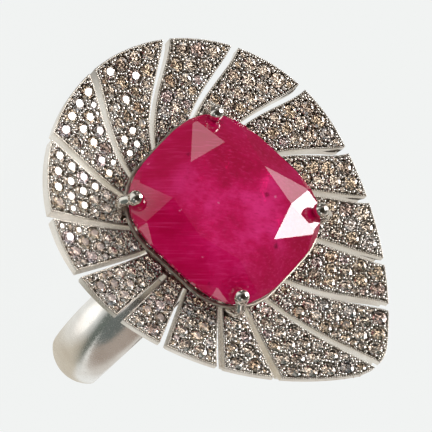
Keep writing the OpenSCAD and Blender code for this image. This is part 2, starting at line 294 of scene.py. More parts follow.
def make_piece(name, points, faces, materials, sharp, kinds=None):
    """A mesh object from points as worn and a list of face arrays; kinds gives each face its material.

    The signed volume, the sum of each face's corner triple products, tells if the faces point inwards.
    """
    placed = lay(points)
    volume = 0.0
    for block in faces:
        a = placed[block[:, 0]]
        for k in range(1, block.shape[1] - 1):
            volume += np.einsum("ij,ij->", a, np.cross(placed[block[:, k]], placed[block[:, k + 1]]))
    if volume < 0:
        faces = [block[:, ::-1] for block in faces]
    mesh = bpy.data.meshes.new(name)
    mesh.from_pydata(placed.tolist(), [], [f for block in faces for f in block.tolist()])
    for material in materials:
        mesh.materials.append(material)
    if kinds is not None:
        mesh.polygons.foreach_set("material_index", np.asarray(kinds, np.int32))
    mesh.shade_smooth()
    mesh.set_sharp_from_angle(angle=math.radians(sharp))
    mesh.update()
    return new_object(name, mesh)


def feed(tree, node, inputs):
    """Gives a node's sockets their values, or links them to the outputs of other nodes."""
    for socket, value in inputs.items():
        if isinstance(value, bpy.types.NodeSocket):
            tree.links.new(value, node.inputs[socket])
        else:
            node.inputs[socket].default_value = value
    return node


def add(tree, kind, inputs=None, **settings):
    """A new shader node with its settings, its sockets' values and its links."""
    node = tree.nodes.new("ShaderNode" + kind)
    for setting, value in settings.items():
        setattr(node, setting, value)
    return feed(tree, node, inputs or {})


def new_material(name):
    """A material, its node tree and its one surface shader."""
    material = bpy.data.materials.new(name)
    material.use_nodes = True
    return material, material.node_tree, material.node_tree.nodes["Principled BSDF"]


def noise(tree, where, scale, detail, roughness=0.5, distortion=0.0):
    """Soft clouds over a place, from 0 to 1: several sizes of random swell, added up."""
    return add(tree, "TexNoise", {
        "Vector": where, "Scale": scale, "Detail": detail, "Roughness": roughness,
        "Distortion": distortion}).outputs["Fac"]


def tones(tree, source, *stops):
    """A colour that passes through each stop's colour as the source passes its place."""
    ramp = add(tree, "ValToRGB", {"Fac": source})
    elements = ramp.color_ramp.elements
    for element, (place, colour) in zip(elements, (stops[0], stops[-1])):
        element.position, element.color = place, (*colour, 1)
    for place, colour in stops[1:-1]:
        elements.new(place).color = (*colour, 1)
    return ramp.outputs["Color"]


def scratch_group():
    """Node group: fine straight scratches in three directions, from noise drawn out along one axis."""
    group = bpy.data.node_groups.new("Fine scratches", "ShaderNodeTree")
    for name, value in (("Spacing per m", 9000.0), ("Length ratio", 0.02)):
        socket = group.interface.new_socket(name, in_out="INPUT", socket_type="NodeSocketFloat")
        socket.default_value = value
    group.interface.new_socket("Lines", in_out="OUTPUT", socket_type="NodeSocketFloat")
    inside, outside = group.nodes.new("NodeGroupInput"), group.nodes.new("NodeGroupOutput")
    spacing = inside.outputs["Spacing per m"]
    along = add(group, "Math", {0: spacing, 1: inside.outputs["Length ratio"]}, operation="MULTIPLY")
    stretch = add(group, "CombineXYZ", {"X": along.outputs[0], "Y": spacing, "Z": spacing})
    where = add(group, "TexCoord").outputs["Object"]
    last = None
    for turn in ((0.4, 0.9, 0.3), (1.3, -0.5, 1.1), (-0.8, 0.3, 2.2)):
        turned = add(group, "Mapping", {"Vector": where, "Rotation": turn})
        drawn = add(group, "VectorMath", {0: turned.outputs[0], 1: stretch.outputs[0]}, operation="MULTIPLY")
        crest = {"Value": noise(group, drawn.outputs[0], 1.0, 2.0), "From Min": 0.62, "From Max": 0.74}
        line = add(group, "MapRange", crest).outputs[0]
        last = add(group, "Math", {0: last, 1: line}, operation="MAXIMUM").outputs[0] if last else line
    feed(group, outside, {"Lines": last})
    return group


SCRATCHES = scratch_group()
RIPPLES_PER_M = 900.0


def white_gold(name, light, dark, rough, scratch_rough, scratch_depth, ripple_depth, spacing=9000.0,
               metallic=1.0, cloud_scale=420.0):
    """Gold whose colour drifts between two tones in soft clouds; scratches roughen and dent it.

    Where stone dust and polish lie on it, it is less than fully metallic.
    """
    material, tree, surface = new_material(name)
    where = add(tree, "TexCoord").outputs["Object"]
    colour = tones(tree, noise(tree, where, cloud_scale, 3.0), (0.35, dark), (0.65, light))
    lines = add(tree, "Group", {"Spacing per m": spacing}, node_tree=SCRATCHES).outputs["Lines"]
    roughness = add(tree, "MapRange", {"Value": lines, "To Min": rough, "To Max": scratch_rough})
    ripple = {"Strength": 1.0, "Distance": ripple_depth, "Height": noise(tree, where, RIPPLES_PER_M, 1.0)}
    soft = add(tree, "Bump", ripple).outputs["Normal"]
    scratched = {"Strength": 1.0, "Distance": scratch_depth, "Height": lines, "Normal": soft}
    dent = add(tree, "Bump", scratched, invert=True)
    feed(tree, surface, {
        "Base Color": colour, "Metallic": metallic, "Roughness": roughness.outputs[0],
        "Normal": dent.outputs["Normal"]})
    return material


# The walls' tops and the underside are matt, the sawn slots satin, and the channels dull with stone dust and
# blotched near black with painted shade under the stones.
MATT = white_gold(
    "Matt white gold", (0.66, 0.60, 0.52), (0.52, 0.46, 0.38),
    rough=0.42, scratch_rough=0.55, scratch_depth=6e-6, ripple_depth=10e-6, spacing=14000.0)
SATIN = white_gold(
    "Sawn white gold", (0.86, 0.81, 0.74), (0.74, 0.68, 0.60),
    rough=0.27, scratch_rough=0.45, scratch_depth=4e-6, ripple_depth=4e-6, spacing=14000.0)
# Painted shade: the channels' second tone is near black, in small blotches, for the shade under the stones.
CHANNEL_DUST_AND_PAINTED_SHADE = white_gold(
    "Cut white gold with painted shade", (0.66, 0.53, 0.42), (0.06, 0.04, 0.025),
    rough=0.35, scratch_rough=0.5, scratch_depth=4e-6, ripple_depth=8e-6, spacing=14000.0,
    metallic=0.55, cloud_scale=3400.0)

plate_points, plate_faces, plate_kinds = joined(
    [panel_block(i) for i in range(PANELS)] + [stop_block(slot) for slot in SLOTS] + [collar_block()])
plate = make_piece("plate", plate_points, [plate_faces], [MATT, SATIN, CHANNEL_DUST_AND_PAINTED_SHADE], 30.0, plate_kinds)
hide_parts("ring_mount")
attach(plate, "root")

# The band
# A plain half-round finger band of white gold, worn smooth, domed outside and flat inside, forged to taper
# away from the plate. Its edges are eased, and it is soldered to the setting at the top.
FINGER_R, BAND_T, DOME_R = 8.5, 1.6, 3.0
BAND_TOP_W, BAND_BOTTOM_W = 5.7, 4.4
OUTER_EASE, INNER_EASE, EASE_MOST = 0.22, 0.14, 0.45
WIDENING, DOME_MARGIN = 0.93, 0.03


def band_points(turns, steps):
    """A half-round section carried round the finger's axis; its width grows evenly with height.

    The width stops where the dome would meet the flat inside; an edge is eased by under half its thickness.
    """
    angle = np.linspace(0, 2 * np.pi, turns, endpoint=False)[:, None]
    outer_r = FINGER_R + BAND_T
    height = WIDENING * outer_r * np.sin(angle)
    share = (height + outer_r + 1) / (2 * outer_r + 2)
    widest = math.sqrt(DOME_R ** 2 - (DOME_R - BAND_T) ** 2) - DOME_MARGIN
    half = np.minimum((BAND_BOTTOM_W + (BAND_TOP_W - BAND_BOTTOM_W) * share) / 2, widest)
    edge = np.sqrt(DOME_R ** 2 - half ** 2) - (DOME_R - BAND_T)
    outer_ease = np.minimum(OUTER_EASE, EASE_MOST * edge)
    inner_ease = np.minimum(INNER_EASE, EASE_MOST * edge)
    x = half * np.sin(np.linspace(-np.pi / 2, np.pi / 2, steps))[None, :]
    over = np.maximum(np.abs(x) - (half - outer_ease), 0)
    dome = outer_r - DOME_R + np.sqrt(DOME_R ** 2 - x ** 2)
    outside = dome - (outer_ease - np.sqrt(np.maximum(outer_ease ** 2 - over ** 2, 0)))
    under = np.maximum(np.abs(x) - (half - inner_ease), 0)
    inside = FINGER_R + inner_ease - np.sqrt(np.maximum(inner_ease ** 2 - under ** 2, 0))
    x = np.concatenate([x, x[:, ::-1]], 1)
    r = np.concatenate([outside, inside[:, ::-1]], 1)
    return np.stack([x, r * np.cos(angle), r * np.sin(angle) + FINGER_Z], -1)


WORN_SMOOTH = white_gold(
    "Worn white gold", (0.87, 0.85, 0.81), (0.76, 0.72, 0.67),
    rough=0.18, scratch_rough=0.36, scratch_depth=3e-6, ripple_depth=14e-6)
band_grid = band_points(240, 31)
band_faces = net(*band_grid.shape[:2], True, True)
band = make_piece("band", band_grid.reshape(-1, 3), [band_faces], [WORN_SMOOTH], 40.0)
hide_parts("ring_mount")
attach(band, "root")

# The claw setting
# A seat ring on the band carries four bent claws, which pass through the plate and end in beads on the ruby.
# A thin rail runs under the ruby's girdle from claw to claw. All of it is white gold, soldered together: the
# claws are polished, the seat is buffed and the rail is left matt.
SETTING_TURN, CLAW_ANGLE = 4.0, 43.0
CLAW_R, CLAW_BEAD_R, CLAW_TAPER, CLAW_NECK = 0.46, 0.67, 0.06, 1.2
CLAW_FOOT, CLAW_KNEE, CLAW_ELBOW, CLAW_TIP = (3.3, -5.5), (7.5, -0.4), (9.02, 2.75), (7.95, 3.67)
CLAW_ANGLES = [CLAW_ANGLE, 180 - CLAW_ANGLE, 180 + CLAW_ANGLE, -CLAW_ANGLE]
SEAT_R, SEAT_BORE_R, SEAT_TOP_Z, SEAT_H = 3.9, 2.5, -4.9, 1.9
RAIL_Z, RAIL_H, RAIL_OUT, RAIL_IN, RAIL_CORNER_R = 1.75, 0.4, 0.14, -0.1, 5.0
RUBY_L, RUBY_W = 14.8, 14.2


def capped(rings):
    """A tube from rings of points: nets between them, and a fan to each end's own middle point."""
    rows, columns = rings.shape[:2]
    points = np.concatenate([rings.reshape(-1, 3), rings[:1].mean(1), rings[-1:].mean(1)])
    body = net(rows, columns, False, True)
    j = np.arange(columns)
    k = (j + 1) % columns
    first = np.stack([k, j, np.full(columns, rows * columns)], -1)
    last = np.stack([j, k, np.full(columns, rows * columns + 1)], -1)
    last[:, :2] += (rows - 1) * columns
    return points, body, np.concatenate([first, last])


def unit(runs):
    """Each direction divided by its own length."""
    return runs / np.linalg.norm(runs, axis=1, keepdims=True)


def claw_rings(angle, sides=28):
    """Round rings carried up a bent line: the radius is the wire's, then the bead's circle about the tip."""
    corners = np.array([CLAW_FOOT, CLAW_KNEE, CLAW_ELBOW, CLAW_TIP])
    steps = np.diff(corners, axis=0)
    lengths = np.hypot(*steps.T)
    end = corners[-1] + steps[-1] / lengths[-1] * CLAW_BEAD_R
    corners = np.vstack([corners, end])
    lengths = np.append(lengths, CLAW_BEAD_R)
    stops = np.concatenate([[0], np.cumsum(lengths)])
    bead = stops[-2]
    fine = np.linspace(0, stops[-1], 400)
    line = np.stack([np.interp(fine, stops, corners[:, k]) for k in (0, 1)], -1)
    reach_out = 20
    window = np.hanning(2 * reach_out + 1)
    window /= window.sum()
    padded = np.concatenate([
        2 * line[:1] - line[reach_out:0:-1], line, 2 * line[-1:] - line[-2:-2 - reach_out:-1]])
    soft = np.stack([np.convolve(padded[:, k], window, "valid") for k in (0, 1)], -1)
    neck = bead - CLAW_NECK
    quarter = np.linspace(0, np.pi / 2, 26)[1:]
    rise = np.concatenate([np.linspace(0, neck, 26), neck + (CLAW_BEAD_R + CLAW_NECK) * np.sin(quarter)])
    rise = rise[rise < bead + CLAW_BEAD_R * 0.9995]
    path = np.stack([np.interp(rise, fine, soft[:, k]) for k in (0, 1)], -1)
    ball = np.sqrt(np.maximum(CLAW_BEAD_R ** 2 - (rise - bead) ** 2, 0))
    radius = np.where(rise < bead, np.maximum(CLAW_R * (1 - CLAW_TAPER * rise / bead), ball), ball)
    run = unit(np.gradient(path, axis=0))
    out = np.stack([run[:, 1], -run[:, 0]], -1)
    turn = np.linspace(0, 2 * np.pi, sides, endpoint=False)
    flat = path[:, None] + radius[:, None, None] * np.cos(turn)[None, :, None] * out[:, None]
    aside = radius[:, None] * np.sin(turn)[None, :]
    return np.stack([flat[..., 0], aside, flat[..., 1]], -1) @ about_z(math.radians(angle)).T


POLISHED = white_gold(
    "Polished white gold", (0.93, 0.90, 0.85), (0.84, 0.79, 0.72),
    rough=0.05, scratch_rough=0.14, scratch_depth=1e-6, ripple_depth=3e-6)
for number, claw_angle in enumerate(CLAW_ANGLES):
    points, body, ends = capped(claw_rings(claw_angle + SETTING_TURN))
    claw = make_piece(f"claw_{number + 1}", points, [body, ends], [POLISHED], 60.0)
    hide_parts("ring_mount")
    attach(claw, "root")


def rail_grid(steps=12):
    """A small rounded bar carried round the girdle's rounded rectangle, a set distance outside it."""
    middle = (RAIL_OUT + RAIL_IN) / 2
    half_w = (RAIL_OUT - RAIL_IN) / 2
    l, w = RUBY_L / 2 + middle - RAIL_CORNER_R, RUBY_W / 2 + middle - RAIL_CORNER_R
    turn = np.linspace(0, np.pi / 2, steps)
    around = np.concatenate([turn + q * np.pi / 2 for q in range(4)])
    signs = np.repeat([(1, 1), (-1, 1), (-1, -1), (1, -1)], steps, axis=0)
    centre = signs * (l, w)
    normal = np.stack([np.cos(around), np.sin(around)], -1)
    section = np.linspace(0, 2 * np.pi, 20, endpoint=False)
    side = np.sign(np.cos(section)) * np.abs(np.cos(section)) ** 0.5 * half_w
    lift = np.sign(np.sin(section)) * np.abs(np.sin(section)) ** 0.5 * RAIL_H / 2
    plan = centre[:, None] + normal[:, None] * (RAIL_CORNER_R + side[None, :, None])
    return raised(plan, RAIL_Z + RAIL_H / 2 + lift)


rail_points = rail_grid()
turned = rail_points.reshape(-1, 3) @ about_z(math.radians(SETTING_TURN)).T
rail = make_piece("rail", turned, [net(*rail_points.shape[:2], True, True)], [MATT], 50.0)
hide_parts("ring_mount")
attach(rail, "root")


def seat_rings(sides=72):
    """The seat's profile, from its underside round its eased rim and into its bore, turned about the axis."""
    ease, middle = 0.12, 0.4
    low, high, bore_z = SEAT_TOP_Z - SEAT_H, SEAT_TOP_Z, SEAT_TOP_Z - 1
    profile = np.array([
        (middle, low), (SEAT_R - ease, low), (SEAT_R, low + ease), (SEAT_R, high - ease),
        (SEAT_R - ease, high), (SEAT_BORE_R + ease, high), (SEAT_BORE_R, high - ease), (SEAT_BORE_R, bore_z),
        (middle, bore_z)])
    turn = np.linspace(0, 360, sides, endpoint=False)
    return raised(polar(turn[None, :], profile[:, :1]), profile[:, 1:])


BUFFED = white_gold(
    "Buffed white gold", (0.86, 0.84, 0.81), (0.80, 0.77, 0.73),
    rough=0.09, scratch_rough=0.3, scratch_depth=1.5e-6, ripple_depth=6e-6)
seat_points, seat_body, seat_ends = capped(seat_rings())
seat = make_piece("seat", seat_points, [seat_body, seat_ends], [BUFFED], 30.0)
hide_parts("ring_mount")
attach(seat, "root")

# The ruby
# One cushion-cut ruby: a flat table, eight kite facets with pairs of halves, and a pavilion down to a culet.
# Silk and tiny crystals cloud it. It is cut and polished, and the four claws hold it on the rail.
GIRDLE_Z, GIRDLE_T, CROWN_H, PAVILION_H = 2.65, 0.3, 1.75, 5.4
CUSHION, TABLE_SHARE = 3.1, 0.62
STAR_SLOPE, UPPER_SLOPE, LOWER_EXTRA, HALF_SPREAD = 24.0, 43.0, 4.0, 15.0
RUBY_DEEP, RUBY_MIDDLE, RUBY_PALE = (0.52, 0.0, 0.062), (0.77, 0.004, 0.13), (1.0, 0.035, 0.27)
# Painted light: the ruby is left bright near a spot over the table and painted darker outwards as shade; the
# spot, then the distances in m where the glow is full and gone.
PAINTED_GLOW_SPOT, PAINTED_GLOW_FULL, PAINTED_GLOW_GONE = (0.6, -0.4, GIRDLE_Z + 1.5), 0.0028, 0.0066
SILK_RUN, SILK_LONG, SILK_FINE = (0.69, 0.63, 0.35), 240.0, 5200.0
CLOUDS_PER_M = 230.0
# How far a speck's edge wanders, in m, and how often per m. Then each kind's cells per m, a speck's size in a
# cell, the share of cells that stay clear, and its colour.
RAGGED, RAGGED_PER_M = 0.00035, 5200.0
SPECKS = (
    (700.0, 0.055, 0.80, (1.0, 0.26, 0.50)), (430.0, 0.060, 0.50, (0.20, 0.0, 0.03)),
    (330.0, 0.07, 0.80, (1.0, 0.14, 0.38)))


def power(x, p):
    """A power that keeps the sign."""
    return np.sign(x) * np.abs(x) ** p


def cushion_point(u):
    """A point of the girdle: each axis is half the stone times a cosine or sine to the power 2 / CUSHION."""
    u = np.radians(u)
    across = [RUBY_L / 2 * power(np.cos(u), 2 / CUSHION), RUBY_W / 2 * power(np.sin(u), 2 / CUSHION)]
    return np.stack(across, -1)


def cushion_normal(u):
    """The angle, in degrees, that the girdle faces at u."""
    u = np.radians(u)
    return np.degrees(np.arctan2(
        power(np.sin(u), 2 - 2 / CUSHION) / RUBY_W, power(np.cos(u), 2 - 2 / CUSHION) / RUBY_L))


def cut(angle, distance, height, slope, side):
    """A plane (normal, offset) that faces an angle, goes through (distance, height) and leans by a slope."""
    s, c = np.sin(np.radians(slope)), np.cos(np.radians(slope))
    out = polar(angle, 1.0)
    normal = np.concatenate([out * np.reshape(s, (-1, 1)), np.reshape(side * c + 0 * s, (-1, 1))], 1)
    return np.concatenate([normal, np.reshape(distance * s + height * side * c, (-1, 1))], 1)


def ruby_planes():
    """Every facet's plane: table, girdle, kites, stars, and the halves above and below the girdle."""
    main = np.arange(0, 360, 45.0)
    halves = np.concatenate([main - HALF_SPREAD, main + HALF_SPREAD])
    steps = np.arange(0, 360, 7.5)
    corners = cushion_point(steps)
    sides = np.roll(corners, -1, 0) - corners
    outward = unit(np.stack([sides[:, 1], -sides[:, 0]], -1))
    girdle = np.column_stack([outward, 0 * steps, np.sum(outward * corners, 1)])
    normal, point = cushion_normal(main), cushion_point(main)
    far = np.sum(polar(normal, 1.0) * point, 1)
    table, rise = TABLE_SHARE * point, GIRDLE_T / 2 + CROWN_H
    edge = np.roll(table, -1, 0) - table
    star = np.degrees(np.arctan2(-edge[:, 0], edge[:, 1]))
    half_normal = cushion_normal(halves)
    half_far = np.sum(polar(half_normal, 1.0) * cushion_point(halves), 1)
    lower_slope = np.degrees(np.arctan2(PAVILION_H, half_far)) + LOWER_EXTRA
    return np.concatenate([
        [(0, 0, 1, rise)], girdle,
        cut(normal, far, GIRDLE_T / 2, np.degrees(np.arctan2(CROWN_H, (1 - TABLE_SHARE) * far)), 1),
        cut(normal, far, -GIRDLE_T / 2, np.degrees(np.arctan2(PAVILION_H, far)), -1),
        cut(star, np.sum(polar(star, 1.0) * table, 1), rise, np.full(8, STAR_SLOPE), 1),
        cut(half_normal, half_far, GIRDLE_T / 2, np.full(16, UPPER_SLOPE), 1),
        cut(half_normal, half_far, -GIRDLE_T / 2, lower_slope, -1)])


def solid_of_planes(planes):
    """The solid inside every plane: all points where three planes meet, kept if no plane cuts them off.

    Each plane's points, in order of their angle about their middle, are its facet.
    """
    i, j, k = (a.ravel() for a in np.meshgrid(*[np.arange(len(planes))] * 3, indexing="ij"))
    pick = (i < j) & (j < k)
    three = np.stack([planes[i[pick]], planes[j[pick]], planes[k[pick]]], 1)
    good = np.abs(np.linalg.det(three[:, :, :3])) > 1e-6
    meet = np.linalg.solve(three[good][:, :, :3], three[good][:, :, 3:])[..., 0]
    kept = meet[(meet @ planes[:, :3].T <= planes[:, 3] + 1e-6).all(1)]
    points = np.unique(kept.round(4), axis=0)
    faces = []
    for plane in planes:
        on = np.flatnonzero(np.abs(points @ plane[:3] - plane[3]) < 3e-4)
        if len(on) < 3:
            continue
        flat = points[on] - points[on].mean(0)
        across = np.cross(plane[:3], (0.3, 0.5, 0.81))
        across /= np.linalg.norm(across)
        up = np.cross(plane[:3], across)
        faces.append(on[np.argsort(np.arctan2(flat @ up, flat @ across))][None, :])
    return points, faces


def share(tree, source, start, end, most=1.0):
    """Rises smoothly from 0 to the most while the source goes from start to end."""
    ramp = {"Value": source, "From Min": start, "From Max": end, "To Max": most}
    return add(tree, "MapRange", ramp, interpolation_type="SMOOTHSTEP").outputs[0]


def over(tree, factor, before, colour):
    """A colour laid over what was before it, by a factor."""
    low, high = (c if isinstance(c, bpy.types.NodeSocket) else (*c, 1) for c in (before, colour))
    return add(tree, "Mix", {"Factor": factor, "A": low, "B": high}, data_type="RGBA").outputs["Result"]


def both(tree, one, other):
    """The product of two shares."""
    return add(tree, "Math", {0: one, 1: other}, operation="MULTIPLY").outputs[0]


def far_from(tree, where, point):
    """The distance of a place from a point."""
    return add(tree, "VectorMath", {0: where, 1: point}, operation="DISTANCE").outputs["Value"]


def ruby_material():
    """Deep pink-red corundum: glass of index 1.76 with much cloudy body.

    The body's colour comes from soft clouds, with a painted glow about a spot over the table and painted
    shade darker outwards, from fine silk drawn out along one line, and from pale and dark specks, which are
    the middles of scattered cells with ragged edges. The silk is noise at p * FINE + run * (p . run) * (LONG
    - FINE), so it is long along the run and fine across it.
    """
    material, tree, surface = new_material("Ruby")
    where = add(tree, "TexCoord").outputs["Object"]
    clouds = noise(tree, where, CLOUDS_PER_M, 5.0, 0.6, 0.15)
    last = tones(tree, clouds, (0.36, RUBY_DEEP), (0.52, RUBY_MIDDLE), (0.66, RUBY_PALE))
    # Painted shade: dark crimson is laid over the body farther from the spot, round a painted glow.
    outwards = far_from(tree, where, tuple(lay([PAINTED_GLOW_SPOT])[0]))
    last = over(tree, share(tree, outwards, PAINTED_GLOW_FULL, PAINTED_GLOW_GONE, 0.65), last, (0.52, 0.0, 0.058))
    run = WORN_TO_FLOOR @ (np.array(SILK_RUN) / np.linalg.norm(SILK_RUN))
    stretch = tuple(run * (SILK_LONG - SILK_FINE))
    along = add(tree, "VectorMath", {0: where, 1: stretch}, operation="DOT_PRODUCT").outputs["Value"]
    lengthwise = add(tree, "VectorMath", {0: tuple(run), "Scale": along}, operation="SCALE").outputs["Vector"]
    drawn = add(tree, "VectorMath", {0: where, 1: (SILK_FINE,) * 3, 2: lengthwise}, operation="MULTIPLY_ADD")
    silk = noise(tree, drawn.outputs[0], 1.0, 3.0, 0.6)
    last = over(tree, share(tree, silk, 0.5, 0.72, 0.26), last, (1.0, 0.06, 0.30))
    last = over(tree, share(tree, silk, 0.5, 0.28, 0.34), last, (0.50, 0.0, 0.05))
    ragged = add(tree, "TexNoise", {"Vector": where, "Scale": RAGGED_PER_M}).outputs["Color"]
    nudge = add(tree, "VectorMath", {0: ragged, 1: (RAGGED,) * 3, 2: where}, operation="MULTIPLY_ADD")
    for scale, size, clear, colour in SPECKS:
        cells = add(tree, "TexVoronoi", {"Vector": nudge.outputs[0], "Scale": scale})
        chosen = add(tree, "SeparateColor", {0: cells.outputs["Color"]})
        middle = share(tree, cells.outputs["Distance"], size * 2.4, size * 0.4, 0.8)
        kept = share(tree, chosen.outputs[0], clear, clear + 0.02)
        last = over(tree, both(tree, middle, kept), last, colour)
    feed(tree, surface, {"Base Color": last, "IOR": 1.762, "Transmission Weight": 0.2, "Roughness": 0.02})
    return material


RUBY = ruby_material()
stone_points, stone_faces = solid_of_planes(ruby_planes())
stone_points = (stone_points + (0, 0, GIRDLE_Z)) @ about_z(math.radians(SETTING_TURN)).T
ruby = make_piece("ruby_stone", stone_points, stone_faces, [RUBY], 1.0)
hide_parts("ruby")
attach(ruby, "root")

# The small stones
# Round diamonds of about 0.9 to 1.2 mm in rows across every panel, and a ring of them round the opening.
# Each is full cut, sits with its girdle at the plate's face, and leans a little its own way, as set by hand.
RIM_STONE_D, STONE_DROP, STONE_GAP, SMALLEST_STONE = 1.27, 0.4, 0.12, 0.72
WALL_GAP, CLAW_ROOM = 0.08, 1.3
ROW_STEP, ROW_JUMP, FIRST_ROW, INNER_ROOM, LEAN_GAIN = 0.008, 0.04, 1.03, 0.42, 0.02
SET_LEAN, DIMMEST_TINT = 2.4, 0.78
COLLAR_R, COLLAR_D = 6.22, 0.98
CLAW_HOLE_R, NO_STONES = 8.0, 9.0
STONE_TABLE, STONE_CROWN, STONE_DEPTH, STONE_SEAT = 0.56, 0.15, 0.42, 0.02
CLAW_HOLES = polar(np.array(CLAW_ANGLES) + SETTING_TURN, CLAW_HOLE_R)
# The stones' colours: near white, champagne, cognac, grey-blue, lilac, pink and grey, and how common each is.
STONE_TINTS = np.array([
    (0.96, 0.93, 0.88), (0.88, 0.80, 0.67), (0.78, 0.65, 0.52), (0.84, 0.87, 0.92), (0.88, 0.80, 0.88),
    (0.93, 0.80, 0.79), (0.68, 0.62, 0.57)])
TINT_SHARES = np.array([0.46, 0.24, 0.05, 0.07, 0.05, 0.05, 0.08])


def edge_room(slot, t, d):
    """How far across the panel a stone's middle stays from a slot's middle line."""
    return (slot_half(t) + WALL + WALL_GAP + d / 2) / slot_skew(slot, t)


def stone_row(i, t, lean):
    """One row of (x, y, diameter) across panel i, evenly spaced, leaning to one slot (0) or the other (1)."""
    a, b = SLOTS[i], next_slot(i)
    low, high, _, width = panel_at(a, b, t)
    full = RIM_STONE_D - STONE_DROP * t
    spare = width - edge_room(a, t, full) - edge_room(b, t, full)
    d = full + min(spare, 0)
    if d < SMALLEST_STONE:
        return np.zeros((0, 3))
    count = int(max(spare, 0) / (d + STONE_GAP)) + 1
    rest = max(spare, 0) - (count - 1) * (d + STONE_GAP)
    across = edge_room(a, t, d) + lean * rest + np.arange(count) * (d + STONE_GAP)
    angle = low + (high - low) * across / width
    plan = polar(angle, reach(angle, t))
    clear = np.linalg.norm(plan[:, None] - CLAW_HOLES, axis=-1).min(1) > (d + CLAW_ROOM) / 2
    return np.column_stack([plan, np.full(count, d)])[clear]


def room_between(row, placed):
    """The least gap between a row's stones and those already placed."""
    if len(row) == 0 or len(placed) == 0:
        return NO_STONES
    gap = np.linalg.norm(row[:, None, :2] - placed[None, :, :2], axis=-1)
    return (gap - (row[:, None, 2] + placed[None, :, 2]) / 2).min()


def panel_stones(i):
    """Rows set one after another from the rim inwards, each as close as its stones allow."""
    a, b = SLOTS[i], next_slot(i)
    t = (WALL + WALL_GAP + RIM_STONE_D / 2) / panel_length(a, b) * FIRST_ROW
    last = 1 - INNER_ROOM / (rim((a[1] + b[1]) / 2) - SLOT_END_R)
    placed = np.zeros((0, 3))
    while t <= last:
        rows = [stone_row(i, t, lean) for lean in (0.5, 0, 1)]
        room = [room_between(row, placed) for row in rows]
        best = 0 if room[0] >= max(room) - LEAN_GAIN else 1 if room[1] > room[2] else 2
        if len(rows[best]) == 0 or room[best] < STONE_GAP:
            t += ROW_STEP
        else:
            placed = np.concatenate([placed, rows[best]])
            t += ROW_JUMP
    return placed


def collar_stones():
    """Two half rings of equal stones round the opening, first the round end's and then the tip's."""
    step = 360 / int(2 * np.pi * COLLAR_R / (COLLAR_D + STONE_GAP))
    half = np.arange(step / 2, 180 - step / 2, step)
    angle = np.concatenate([90 + half, 270 + half])
    return np.column_stack([polar(angle, COLLAR_R), np.full(len(angle), COLLAR_D)])


def full_cut():
    """A brilliant one unit across: table, 8 stars, 8 kites, 16 upper halves, 16 lower halves, 8 mains.

    The stars' tips and the mains' shoulders lie on the planes of the kites and mains, so those are flat.
    """
    table, middle, shoulder = STONE_TABLE / 2, 0.40, 0.11
    eighth, half = np.arange(8) * 45.0, np.arange(8) * 45.0 + 22.5
    c = math.cos(math.radians(22.5))
    middle_z = STONE_CROWN * (1 - (middle * c - table) / (0.5 - table))
    shoulder_z = -STONE_DEPTH * (1 - shoulder * c / 0.5)

    def ring(angle, r, z):
        return np.column_stack([polar(angle, r), np.full(len(angle), z)])

    points = np.concatenate([
        ring(eighth, table, STONE_CROWN), ring(half, middle, middle_z),
        ring(np.arange(16) * 22.5, 0.5, 0.0), ring(half, shoulder, shoulder_z), [(0, 0, -STONE_DEPTH)]])
    here = np.arange(8)
    after, before = (here + 1) % 8, (here - 1) % 8
    star, girdle, low, culet = 8, 16, 32, 40
    one, two, three = girdle + 2 * here, girdle + 2 * here + 1, girdle + 2 * after
    threes = np.concatenate([
        np.stack([here, star + here, after], -1),
        np.stack([star + here, one, two], -1), np.stack([star + here, two, three], -1),
        np.stack([low + here, two, one], -1), np.stack([low + here, three, two], -1)])
    fours = np.concatenate([
        np.stack([here, star + before, one, star + here], -1),
        np.stack([low + here, one, low + before, 0 * here + culet], -1)])
    return points, threes, fours, here[None, :]


def on_dish(spots):
    """The three axes of the hollow face at each spot: outwards, round and up, and the face's point there."""
    far = np.linalg.norm(spots[:, :2], axis=1)
    angle, lean = np.arctan2(spots[:, 1], spots[:, 0]), np.arcsin(far / DISH_R)
    out = np.stack([np.cos(angle) * np.cos(lean), np.sin(angle) * np.cos(lean), np.sin(lean)], -1)
    around = np.stack([-np.sin(angle), np.cos(angle), 0 * angle], -1)
    up = np.cross(out, around)
    return out, around, up, np.column_stack([spots[:, :2], layer_z(far, 0)])


def set_stones(name, spots, seed):
    """The full-cut stone, scaled, spun and tipped a little for each spot: one mesh, with a tint for each."""
    rng = np.random.default_rng(seed)
    stone, threes, fours, eight = full_cut()
    out, around, up, base = on_dish(spots)
    spin = rng.uniform(0, 2 * np.pi, len(spots))[:, None]
    tip = rng.normal(0, math.radians(SET_LEAN), (len(spots), 2))
    x = out * np.cos(spin) + around * np.sin(spin)
    y = -out * np.sin(spin) + around * np.cos(spin)
    z = unit(up + x * tip[:, :1] + y * tip[:, 1:])
    x = unit(x - z * np.sum(x * z, 1, keepdims=True))
    y = np.cross(z, x)
    size = spots[:, 2, None, None]
    points = (base + STONE_SEAT * up)[:, None] + size * (
        stone[None, :, :1] * x[:, None] + stone[None, :, 1:2] * y[:, None] + stone[None, :, 2:] * z[:, None])
    shift = (np.arange(len(spots)) * len(stone))[:, None, None]
    faces = [(f[None] + shift).reshape(-1, f.shape[1]) for f in (threes, fours, eight)]
    piece = make_piece(name, points.reshape(-1, 3), faces, [DIAMOND], 1.0)
    tint = STONE_TINTS[rng.choice(len(STONE_TINTS), len(spots), p=TINT_SHARES)]
    tint = tint * rng.uniform(DIMMEST_TINT, 1.0, (len(spots), 1))
    colour = np.ones((len(spots), len(stone), 4))
    colour[..., :3] = tint[:, None]
    layer = piece.data.color_attributes.new("tint", "FLOAT_COLOR", "POINT")
    layer.data.foreach_set("color", colour.astype(np.float32).ravel())
    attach(piece, "root")
    return piece


